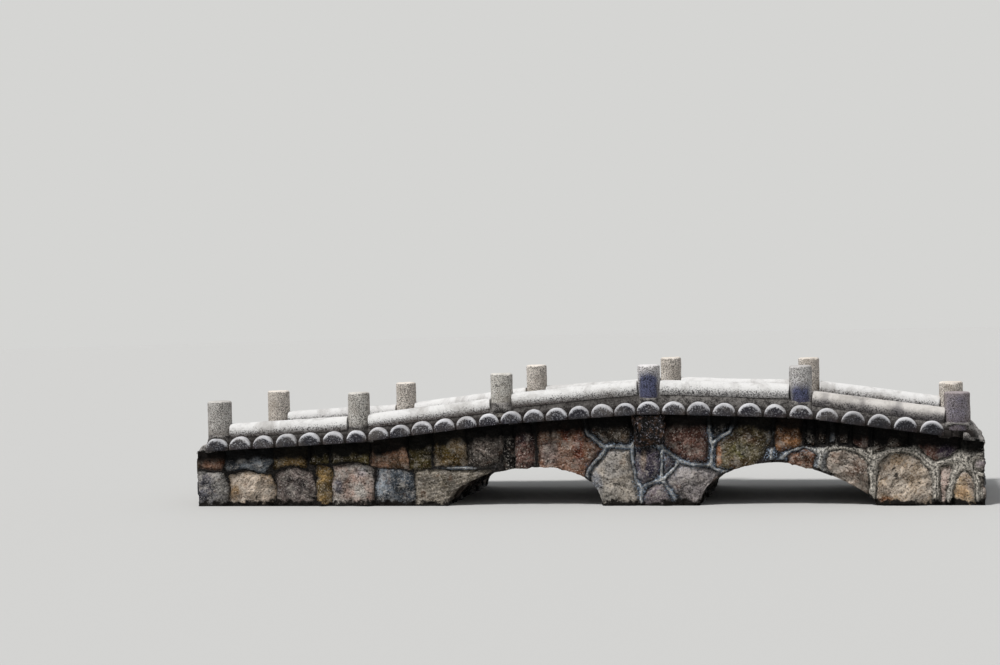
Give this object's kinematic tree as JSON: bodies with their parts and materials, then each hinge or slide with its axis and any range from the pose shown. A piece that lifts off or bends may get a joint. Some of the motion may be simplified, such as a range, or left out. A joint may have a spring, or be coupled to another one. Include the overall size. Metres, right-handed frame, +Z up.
{
  "type": "rubble stone garden footbridge with two arches",
  "caption": "Low stone footbridge on twin flat arches with a gently humped deck of round log forms, log curbs and short round posts.",
  "frame": {"origin": "centre of the bounding box, on the level where the masonry meets the water", "axes": "+X along the bridge towards its right end, +Y across it from the front face to the back, +Z up"},
  "size_m": [6.42, 1.9, 1.131],
  "materials": {
    "rubble_stone": "split rubble in raised mortar joints, damp stained",
    "core_masonry": "rough damp mortar rendering under the arches",
    "mortar": "trowelled mortar, weathered",
    "dark_stone": "rough wet stone",
    "log_concrete": "cast concrete, speckled and worn",
    "curb_concrete": "cast concrete, sun bleached on top",
    "post_concrete": "cast concrete with fine aggregate showing"
  },
  "bodies": {
    "root": {"front_wall": "rubble_stone", "back_wall": "rubble_stone", "left_end_wall": "rubble_stone", "right_end_wall": "rubble_stone", "left_abutment": "core_masonry", "right_abutment": "core_masonry", "left_arch": "core_masonry", "right_arch": "core_masonry", "centre_pier": "core_masonry", "deck_bed_1": "mortar", "deck_bed_2": "mortar", "deck_bed_3": "mortar", "deck_bed_4": "mortar", "deck_bed_5": "mortar", "deck_logs_1": "log_concrete", "deck_logs_2": "log_concrete", "deck_logs_3": "log_concrete", "deck_logs_4": "log_concrete", "deck_logs_5": "log_concrete", "curb_front_1": "curb_concrete", "curb_front_2": "curb_concrete", "curb_front_3": "curb_concrete", "curb_front_4": "curb_concrete", "curb_front_5": "curb_concrete", "curb_back_1": "curb_concrete", "curb_back_2": "curb_concrete", "curb_back_3": "curb_concrete", "curb_back_4": "curb_concrete", "curb_back_5": "curb_concrete", "post_front_1": "post_concrete", "post_front_2": "post_concrete", "post_front_3": "post_concrete", "post_front_4": "post_concrete", "post_front_5": "post_concrete", "post_front_6": "post_concrete", "post_back_1": "post_concrete", "post_back_2": "post_concrete", "post_back_3": "post_concrete", "post_back_4": "post_concrete", "post_back_5": "post_concrete", "post_back_6": "post_concrete", "corbel_front": "dark_stone", "corbel_back": "dark_stone", "sill_left": "mortar", "sill_right": "mortar"}
  },
  "joints": []
}
